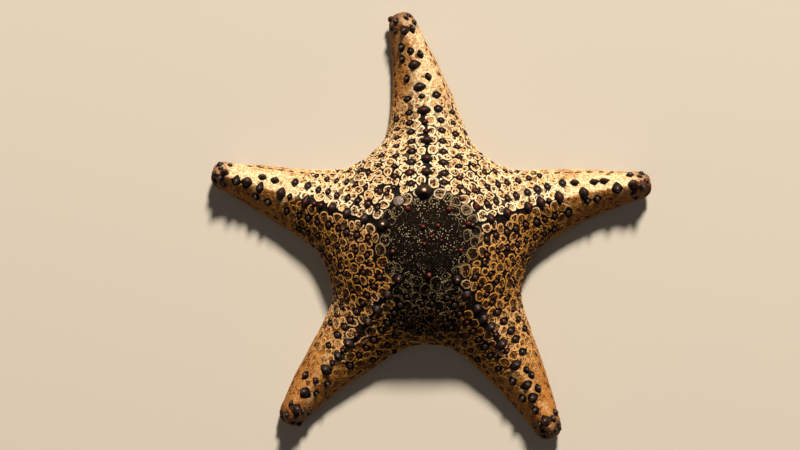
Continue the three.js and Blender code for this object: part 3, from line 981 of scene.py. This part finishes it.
def furrow_spines(chance):
    """Rows of small spines along both banks of every groove, leaning over it."""
    starts, ends, widths = [], [], []
    reach = GROOVE_HALF_WIDTH + 0.12
    for heading in HEADINGS:
        for along in np.arange(5.0, GROOVE_END - 1, SPINE_PITCH):
            small = 1 - 0.4 * smooth_step(along, 25, 50)
            for side in (-1, 1):
                for spread in (-0.28, 0.28):
                    starts.append(from_arm(along + spread, side * reach, 0.42, heading))
                    tip_across = side * (reach - (0.85 + chance.uniform(-0.1, 0.1)) * small)
                    ends.append(from_arm(along + spread * 1.7, tip_across, 0.3, heading))
                    widths.append(0.17 * small)
                starts.append(from_arm(along + 0.3, side * (reach + 0.75), 0.55, heading))
                ends.append(from_arm(along + 0.5, side * (reach + 0.15), 0.28, heading))
                widths.append(0.24 * small)
    return spine_piece(starts, ends, widths)


def mouth_lip():
    """The soft ring round the mouth, drawn in between the five jaws."""
    deselect()
    bpy.ops.mesh.primitive_torus_add(
        major_segments=80, minor_segments=20, major_radius=2.05, minor_radius=0.75
    )
    ring = bpy.context.object
    points = corners(ring)
    angle = np.arctan2(points[:, 1], points[:, 0])
    inner = smooth_step(-off_middle(points), -2.4, -1.4)
    wave = np.cos(len(ARMS) * (angle - math.radians(HEADINGS[0])))
    scale = 1 + 0.16 * wave * inner + 0.03 * np.sin(23 * angle) * inner
    points[:, :2] *= scale[:, None]
    points[:, 2] = points[:, 2] * 0.75 + 2.3
    move_corners(ring, posed(points))
    return ring


def jaws():
    """Five wedges between the grooves that meet over the mouth."""
    pieces = []
    for heading in JAW_HEADINGS:
        wedge = ball(20, 14)
        out, aside, up = corners(wedge).T
        narrow = np.interp(out, [-1, 0.4, 1], [0.35, 1.0, 0.8])
        height = np.maximum(0.95 + 0.6 * up, 0.3)
        points = from_arm(2.35 + 0.95 * out, 0.62 * aside * narrow, height, heading)
        move_corners(wedge, posed(points))
        pieces.append(wedge)
    return pieces


def mouth_piece():
    mouth = joined(mouth_lip(), jaws())
    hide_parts("mouth")
    return mouth


def mouth_spines():
    """Short spines on the jaws, pointing in over the mouth."""
    starts, ends = [], []
    for heading in JAW_HEADINGS:
        for spread in (-0.42, -0.14, 0.14, 0.42):
            starts.append(from_arm(1.75, spread * 0.8, 0.62, heading))
            ends.append(from_arm(0.75, spread * 0.9, 0.4, heading))
    return spine_piece(starts, ends, [0.17] * len(starts))


# ---------- materials

def linear(code):
    """An sRGB hex colour as linear numbers."""
    shares = [int(code[place : place + 2], 16) / 255 for place in (1, 3, 5)]
    return tuple(
        share / 12.92 if share <= 0.04045 else ((share + 0.055) / 1.055) ** 2.4 for share in shares
    ) + (1.0,)


def add(tree, kind, inputs=None, output=0, **settings):
    """Adds a node with its settings and gives one of its outputs back. Inputs are numbers, hex
    colours or the outputs linked to them."""
    node = tree.nodes.new("ShaderNode" + kind)
    for name, value in settings.items():
        setattr(node, name, value)
    for socket, value in (inputs or {}).items():
        if isinstance(value, bpy.types.NodeSocket):
            tree.links.new(value, node.inputs[socket])
        else:
            node.inputs[socket].default_value = linear(value) if isinstance(value, str) else value
    return node.outputs[output]


def start_material(name, roughness, specular=0.5):
    """A material with what is even all over it set on its shader, and its own function to add
    nodes with."""
    material = bpy.data.materials.new(name)
    material.use_nodes = True
    shader = material.node_tree.nodes["Principled BSDF"]
    shader.inputs["Roughness"].default_value = roughness
    shader.inputs["Specular IOR Level"].default_value = specular
    return material, partial(add, material.node_tree)


def per_metre(size):
    """The scale of a pattern whose parts are the given size, in millimetres."""
    return 1000 / size


# Map Range takes its value at socket 0, what that runs from and to at 1 and 2, and what it is
# turned to at 3 and 4. Mix takes its share at 0 and its two colours at 6 and 7.
SMOOTH = {"interpolation_type": "SMOOTHSTEP"}
COLOURS = {"data_type": "RGBA", "output": 2}
PLUS = {"operation": "ADD"}
TIMES = {"operation": "MULTIPLY"}


def shaded(material, inputs):
    """The material with its patterns linked to its shader."""
    tree = material.node_tree
    for socket, pattern in inputs.items():
        tree.links.new(pattern, tree.nodes["Principled BSDF"].inputs[socket])
    return material


def leathery_skin():
    """Tough skin over small limy plates, dried on the surface: pore cells with thin cream rims and
    dark pores over a near-black ground on the disc and the inner arms, and rough granular tan skin
    towards the tips. Cream and lighter along the ridges and on the side towards the light, orange-brown
    and darker on the side away from it: partly its own colour, partly painted light and painted shade."""
    material, node = start_material("leathery_skin", 0.6, 0.06)
    cell, plate, fade, dark, tint, arc, under, along, groove, deep, reach, away_shade, filled = (
        node("Attribute", output="Fac", attribute_name=name) for name in SKIN_VALUES
    )
    place = node("TexCoord", output="Object")
    mottle, grit = (node("TexNoise", {"Vector": place, "Scale": per_metre(size)}) for size in (3.5, 0.55))
    granules, pore_places, speck_places, speck_chance = (
        node("TexVoronoi", {"Vector": place, "Scale": per_metre(size)}, output=output)
        for size, output in ((0.5, "Distance"), (0.66, "Distance"), (0.36, "Distance"), (0.36, "Color"))
    )
    crevices = node("MapRange", {0: granules, 1: 0.42, 2: 0.72}, **SMOOTH)
    pore_size = node("MapRange", {0: deep, 3: 0.0, 4: -0.12})
    pore_reach = node("Math", {0: pore_places, 1: pore_size}, **PLUS)
    pores = node("MapRange", {0: pore_reach, 1: 0.5, 2: 0.38}, **SMOOTH)
    chosen = node("MapRange", {0: speck_chance, 1: 0.53, 2: 0.62}, **SMOOTH)

    # Granular skin: cream along the ridge and on the side towards the light, orange-tan down the flanks
    # and on the side away from it, brown between its granules; partly its own colour, partly painted
    # light and painted shade.
    shifted = node("MapRange", {0: mottle, 1: 0.3, 2: 0.7, 3: -0.35, 4: 0.35})
    side = node("MapRange", {0: arc, 1: 1.0, 2: 7.5}, **SMOOTH)
    side = node("Math", {0: side, 1: shifted}, **PLUS)
    # Painted shade: the side facing away from the light is pushed towards the orange-brown.
    turned = node("MapRange", {0: away_shade, 2: 0.7, 3: -0.45, 4: 0.9})
    side = node("Math", {0: side, 1: turned}, use_clamp=True, **PLUS)
    blotches = node("MapRange", {0: grit, 1: 0.46, 2: 0.66, 4: 0.6}, **SMOOTH)
    # Pale granule tops, partly painted highlight: most along the ridge and on the side towards the light.
    tops = node("MapRange", {0: grit, 1: 0.46, 2: 0.34}, **SMOOTH)
    shown = node("MapRange", {0: side, 3: 0.42, 4: 0.16})
    tops = node("Math", {0: tops, 1: shown}, **TIMES)
    seams = node("Math", {0: crevices, 1: 0.5}, **TIMES)
    halo = node("MapRange", {0: cell, 1: 0.6, 2: 0.95, 4: 0.3}, **SMOOTH)
    dots = node("MapRange", {0: cell, 1: 0.95, 2: 1.05, 4: 0.85}, **SMOOTH)
    spotted = node("MapRange", {0: mottle, 1: 0.46, 2: 0.56, 4: 0.8}, **SMOOTH)
    spots = node("Math", {0: pores, 1: spotted}, **TIMES)
    spots = node("Math", {0: spots, 1: side}, **TIMES)
    flesh = node("Mix", {0: side, 6: "#CFB88F", 7: "#925F27"}, **COLOURS)
    for share, over in (
        (blotches, "#8F5A26"), (tops, "#DFCBA4"), (seams, "#7A4C22"), (halo, "#A3652A"),
        (dots, "#3B1F10"), (spots, "#4E2A12"),
    ):
        flesh = node("Mix", {0: share, 6: flesh, 7: over}, **COLOURS)

    # Pore cells: thin frayed rims, tan inside with clusters of dark pores, darker near the disc; cream
    # rims and tan insides on the side towards the light, orange rims and dark insides on the side away
    # from it, as painted light and painted shade.
    # Painted light and shade: rims cream on the lit side, orange-tan on the side away from the light.
    rim_side = node("MapRange", {0: away_shade, 3: 0.5, 4: 1.0})
    rim_side = node("Math", {0: rim_side, 1: side}, **TIMES)
    rim = node("Mix", {0: rim_side, 6: "#DCC8A4", 7: "#B37D38"}, **COLOURS)
    # Insides darker where the random tint draws so and, as painted shade, on the side away from the
    # light; darkest there near the disc.
    tone_and_shade = node("MapRange", {0: tint, 3: -0.2, 4: 0.3})
    tone_and_shade = node("Math", {0: tone_and_shade, 1: away_shade}, use_clamp=True, **PLUS)
    shaded_deep = node("Math", {0: tone_and_shade, 1: deep}, **TIMES)
    grains = node("MapRange", {0: speck_places, 1: 0.45, 2: 0.3, 4: 0.7}, **SMOOTH)
    grains = node("Math", {0: grains, 1: chosen}, **TIMES)
    inside = node("Mix", {0: tone_and_shade, 6: "#B48E5C", 7: "#623C1A"}, **COLOURS)
    for share, over in ((shaded_deep, "#22130A"), (pores, "#28140B"), (grains, rim)):
        inside = node("Mix", {0: share, 6: inside, 7: over}, **COLOURS)
    rim_seams = node("Math", {0: crevices, 1: 0.3}, **TIMES)
    rim = node("Mix", {0: rim_seams, 6: rim, 7: "#7A4A20"}, **COLOURS)
    frayed = node("Math", {0: grit, 1: 0.35, 2: cell}, operation="MULTIPLY_ADD")
    rim_share = node("MapRange", {0: frayed, 1: 0.13, 2: 0.22}, **SMOOTH)
    in_share = node("MapRange", {0: frayed, 1: 0.43, 2: 0.54}, **SMOOTH)
    back = node("Mix", {0: deep, 6: "#20130A", 7: "#0E0805"}, **COLOURS)
    for share, over in ((filled, flesh), (rim_share, rim), (in_share, inside), (fade, flesh)):
        back = node("Mix", {0: share, 6: back, 7: over}, **COLOURS)

    # The middle: near-black, with fine pale specks and faint rims towards its edge.
    specks = node("MapRange", {0: speck_places, 1: 0.38, 2: 0.22, 4: 0.85}, **SMOOTH)
    specks = node("Math", {0: specks, 1: chosen}, **TIMES)
    patches = node("MapRange", {0: mottle, 1: 0.4, 2: 0.62, 3: 0.1}, **SMOOTH)
    specks = node("Math", {0: specks, 1: patches}, **TIMES)
    rim_band = node("MapRange", {0: cell, 1: 0.26, 2: 0.16}, **SMOOTH)
    rim_band = node("Math", {0: rim_band, 1: rim_share}, **TIMES)
    rim_band = node("Math", {0: rim_band, 1: 0.55}, **TIMES)
    faint = node("MapRange", {0: reach, 1: 13.0, 2: 19.0}, **SMOOTH)
    faint_rim = node("Mix", {0: faint, 6: "#8C7858", 7: "#7E5427"}, **COLOURS)
    middle = node("Mix", {0: rim_band, 6: "#0E0804", 7: faint_rim}, **COLOURS)
    middle = node("Mix", {0: specks, 6: middle, 7: "#CBB693"}, **COLOURS)

    # The sole: pale plates with tan seams, browner up in the grooves.
    sole_share = node("MapRange", {0: cell, 1: -0.1, 2: 0.25}, **SMOOTH)
    sole = node("Mix", {0: sole_share, 6: "#A87A48", 7: "#D9BC8E"}, **COLOURS)
    sole = node("Mix", {0: blotches, 6: sole, 7: "#BE9058"}, **COLOURS)
    groove_share = node("MapRange", {0: groove, 1: 0.6, 2: 1.6}, **SMOOTH)
    sole = node("Mix", {0: groove_share, 6: sole, 7: "#A8703F"}, **COLOURS)

    plate_share = node("MapRange", {0: plate, 1: -0.05, 2: 0.06}, **SMOOTH)
    tip_share = node("MapRange", {0: along, 1: 51.0, 2: 56.5, 4: 0.85})
    colour = back
    for share, over in ((dark, middle), (plate_share, "#0F0805"), (tip_share, "#552D14"), (under, sole)):
        colour = node("Mix", {0: share, 6: colour, 7: over}, **COLOURS)
    lowered = node("Math", {0: granules, 1: -1.0}, **TIMES)
    bump = node("Bump", {"Height": lowered, "Strength": 0.7, "Distance": 0.14 * MM}, output="Normal")
    dullness = node("MapRange", {0: dark, 3: 0.6, 4: 0.95})
    return shaded(material, {"Base Color": colour, "Roughness": dullness, "Normal": bump})


def smooth_calcite():
    """Bare limy knobs, worn smooth: black at the foot, red-brown to grey at the top, glossy."""
    material, node = start_material("smooth_calcite", 0.4, 0.22)
    rise, red, worn, cap = (
        node("Attribute", output="Fac", attribute_name=name) for name in ("rise", *KNOB_VALUES)
    )
    top = node("Mix", {0: red, 6: "#2A1F19", 7: "#591F16"}, **COLOURS)
    above = node("Math", {0: rise, 1: cap}, operation="SUBTRACT")
    height = node("MapRange", {0: above, 1: 0.0, 2: 0.4}, **SMOOTH)
    colour = node("Mix", {0: height, 6: "#0F0907", 7: top}, **COLOURS)
    peak = node("MapRange", {0: rise, 1: 0.84, 2: 0.92}, **SMOOTH)
    bare = node("Math", {0: peak, 1: worn}, **TIMES)
    colour = node("Mix", {0: bare, 6: colour, 7: "#CDBB9C"}, **COLOURS)
    dulled = node("MapRange", {0: height, 3: 0.55, 4: 0.3})
    return shaded(material, {"Base Color": colour, "Roughness": dulled})


def chalky_plate():
    """The sieve plate's bare chalk: greyish pink, damp enough to shine, dark in its grooves."""
    material, node = start_material("chalky_plate", 0.42)
    groove = node("Attribute", output="Fac", attribute_name="groove")
    place = node("TexCoord", output="Object")
    grain = node("TexNoise", {"Vector": place, "Scale": per_metre(0.4)})
    chalk = node("Mix", {0: grain, 6: "#4A3B34", 7: "#8C7970"}, **COLOURS)
    colour = node("Mix", {0: groove, 6: chalk, 7: "#3A2A22"}, **COLOURS)
    return shaded(material, {"Base Color": colour})


def limy_spines():
    """Blunt limy spines under thin skin: pale tan, lighter at the tip."""
    material, node = start_material("limy_spines", 0.6)
    rise = node("Attribute", output="Fac", attribute_name="rise")
    place = node("TexCoord", output="Object")
    grain = node("TexNoise", {"Vector": place, "Scale": per_metre(0.5)})
    foot = node("Mix", {0: grain, 6: "#B98852", 7: "#D3A86F"}, **COLOURS)
    colour = node("Mix", {0: rise, 6: foot, 7: "#EAD3AB"}, **COLOURS)
    return shaded(material, {"Base Color": colour})


def wet_flesh():
    """Tube feet: soft wet flesh, glossy, paler at the sucker."""
    material, node = start_material("wet_flesh", 0.25, 0.6)
    rise = node("Attribute", output="Fac", attribute_name="rise")
    place = node("TexCoord", output="Object")
    cloud = node("TexNoise", {"Vector": place, "Scale": per_metre(0.7)})
    tube = node("Mix", {0: cloud, 6: "#C08E5A", 7: "#DDB684"}, **COLOURS)
    near_end = node("MapRange", {0: rise, 1: 0.35, 2: 0.1}, **SMOOTH)
    colour = node("Mix", {0: near_end, 6: tube, 7: "#F0DBB6"}, **COLOURS)
    return shaded(material, {"Base Color": colour})


def soft_mouth_skin():
    """Soft folded skin round the mouth, moist, a little redder than the sole."""
    material, node = start_material("soft_mouth_skin", 0.45)
    place = node("TexCoord", output="Object")
    cloud = node("TexNoise", {"Vector": place, "Scale": per_metre(1.1)})
    fine = node("TexNoise", {"Vector": place, "Scale": per_metre(0.25)})
    colour = node("Mix", {0: cloud, 6: "#B47B4E", 7: "#DDB585"}, **COLOURS)
    bump = node("Bump", {"Height": fine, "Strength": 0.4, "Distance": 0.08 * MM}, output="Normal")
    return shaded(material, {"Base Color": colour, "Normal": bump})


# ---------- floor, light and camera

CAMERA_TARGET = np.array([-7.7, 0.1, 3.0])
CAMERA_DISTANCE = 700.0
CAMERA_TILT = 1.0  # degrees off straight down
VIEW_WIDTH = 200.0
SENSOR = 36.0


def floor():
    deselect()
    bpy.ops.mesh.primitive_plane_add(size=4)
    plane = bpy.context.object
    plane.name = "floor"
    material, _ = start_material("pale_floor", 0.9)
    shader = material.node_tree.nodes["Principled BSDF"]
    shader.inputs["Base Color"].default_value = linear("#B2ABA0")
    plane.data.materials.append(material)


def soft_light(name, place, size, power, colour):
    light = bpy.data.lights.new(name, "AREA")
    light.shape = "DISK"
    light.size = size
    light.energy = power
    light.color = linear(colour)[:3]
    lamp = put(name, light)
    lamp.location = place
    lamp.rotation_euler = (-Vector(place)).to_track_quat("-Z", "Y").to_euler()


def studio():
    floor()
    soft_light("key", (0.36, 1.76, 1.26), 0.34, 129.0, "#FFF4E4")
    soft_light("fill", (-1.2, -1.0, 1.6), 1.8, 3.6, "#FFF6EA")
    world = bpy.data.worlds.new("room")
    world.use_nodes = True
    background = world.node_tree.nodes["Background"]
    background.inputs["Color"].default_value = linear("#EDE6DA")
    background.inputs["Strength"].default_value = 0.08
    bpy.context.scene.world = world
    bpy.context.scene.view_settings.view_transform = "Standard"


def camera():
    lens = bpy.data.cameras.new("camera")
    lens.sensor_width = SENSOR
    lens.lens = SENSOR * CAMERA_DISTANCE / VIEW_WIDTH
    tilt = math.radians(CAMERA_TILT)
    offset = np.array([0, -math.sin(tilt), math.cos(tilt)]) * CAMERA_DISTANCE
    holder = put("camera", lens)
    holder.location = (CAMERA_TARGET + offset) * MM
    holder.rotation_euler = Vector(-offset).to_track_quat("-Z", "Y").to_euler()
    bpy.context.scene.camera = holder


# ---------- the star

chance = np.random.default_rng(5)
knobs = knob_places(chance)
cells = spaced(back_cells(chance)) + sole_cells(chance)

crown = [knob for knob in knobs if knob.worn]
ridge = [knob for knob in knobs if knob.pointed]
others = [knob for knob in knobs if not knob.worn and not knob.pointed]
large = [knob for knob in others if knob.width > 1.25]
small = [knob for knob in others if knob.width <= 1.25]
calcite = smooth_calcite()
lime = limy_spines()
for name, piece, slot, material in (
    ("skin", skin(cells, knobs, chance), "arm_skin", leathery_skin()),
    ("crown_knobs", knob_piece(crown, 32, 20, taper=0.6, upright=1.5), "knobs", calcite),
    ("ridge_knobs", knob_piece(ridge, 24, 14, taper=0.6, pointed=True), "knobs", calcite),
    ("large_knobs", knob_piece(large, 20, 12), "knobs", calcite),
    ("small_knobs", knob_piece(small, 10, 6), "knobs", calcite),
    ("sieve_plate", sieve_plate(), "sieve_plate", chalky_plate()),
    ("mouth_ring", mouth_piece(), "mouth_skin", soft_mouth_skin()),
    ("mouth_spines", mouth_spines(), "spines", lime),
    ("furrow_spines", furrow_spines(chance), "spines", lime),
    ("tube_feet", tube_feet(chance), "tube_feet", wet_flesh()),
):
    pick(piece)
    bpy.ops.object.shade_smooth()
    piece.name = name
    piece.data.name = name
    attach(piece, "root")
    piece.data.materials.append(material)

studio()
camera()
